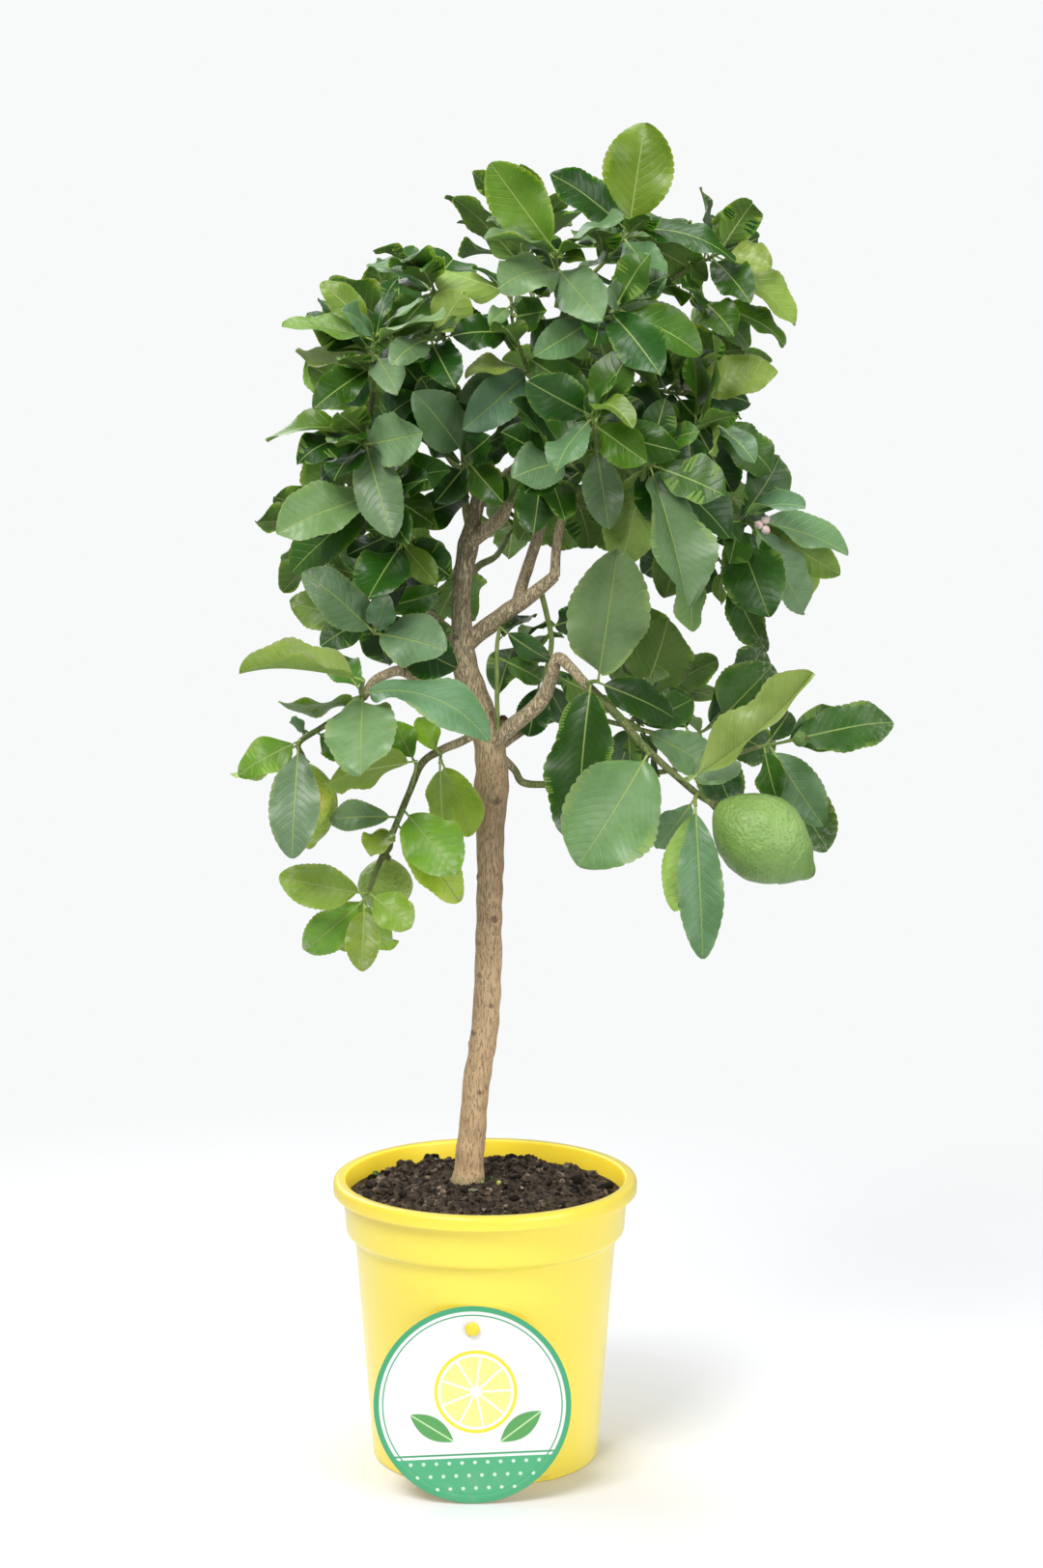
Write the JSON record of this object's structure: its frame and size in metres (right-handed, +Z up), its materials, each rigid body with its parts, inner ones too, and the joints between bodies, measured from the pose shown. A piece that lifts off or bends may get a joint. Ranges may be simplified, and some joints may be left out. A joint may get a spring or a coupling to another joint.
{
  "type": "potted lemon tree",
  "caption": "Young citrus tree with a slim bare stem, a bushy leafy crown and green fruit, growing in a round lipped pot of soil with a round label card pinned to its side.",
  "frame": {"origin": "under the middle of the pot, on the surface that it stands on", "axes": "+Z up, +Y away from the side with the label card, +X to the right of that side"},
  "size_m": [0.4596, 0.3702, 0.945],
  "materials": {
    "pot": "satin",
    "soil": "matte",
    "bark": "matte",
    "leaf": "satin",
    "rind": "satin",
    "petal": "matte",
    "card": "satin",
    "peg": "satin"
  },
  "bodies": {
    "root": {"pot": "pot", "soil": "soil", "trunk_and_limbs": "bark", "spray_back_high_end": "leaf", "spray_back_left_end": "leaf", "spray_back_left_mid": "leaf", "spray_back_left_side": "leaf", "spray_back_left_top": "leaf", "spray_back_low_end": "leaf", "spray_back_low_left": "leaf", "spray_back_low_right": "leaf", "spray_back_mid_end": "leaf", "spray_back_mid_low": "leaf", "spray_back_right_far": "leaf", "spray_back_right_mid": "leaf", "spray_back_right_rise": "leaf", "spray_center_left": "leaf", "spray_center_right": "leaf", "spray_far_right": "leaf", "spray_far_right_low": "leaf", "spray_fruitlet_twig": "leaf", "spray_hang_end": "leaf", "spray_hang_mid": "leaf", "spray_hang_pair": "leaf", "spray_hero_low": "leaf", "spray_hero_right": "leaf", "spray_hero_stand": "leaf", "spray_lead_left": "leaf", "spray_left_bright": "leaf", "spray_left_fore": "leaf", "spray_left_hand": "leaf", "spray_left_low": "leaf", "spray_left_mid": "leaf", "spray_left_node": "leaf", "spray_left_shoot": "leaf", "spray_left_shoulder": "leaf", "spray_left_tail": "leaf", "spray_left_upper": "leaf", "spray_lemon_hang": "leaf", "spray_lemon_twig": "leaf", "spray_low_mid": "leaf", "spray_low_right_back": "leaf", "spray_right_light": "leaf", "spray_right_top": "leaf", "spray_right_top_low": "leaf", "spray_right_under": "leaf", "spray_top": "leaf", "spray_top_center": "leaf", "spray_top_fork": "leaf", "spray_top_left": "leaf", "spray_twig_low": "leaf", "spray_twig_main": "leaf", "lemon_right": "rind", "lemon_left": "rind", "lemon_behind": "rind", "fruitlet": "rind", "buds_right": "petal", "buds_top": "petal", "label_card": "card", "label_peg": "peg"}
  },
  "joints": []
}
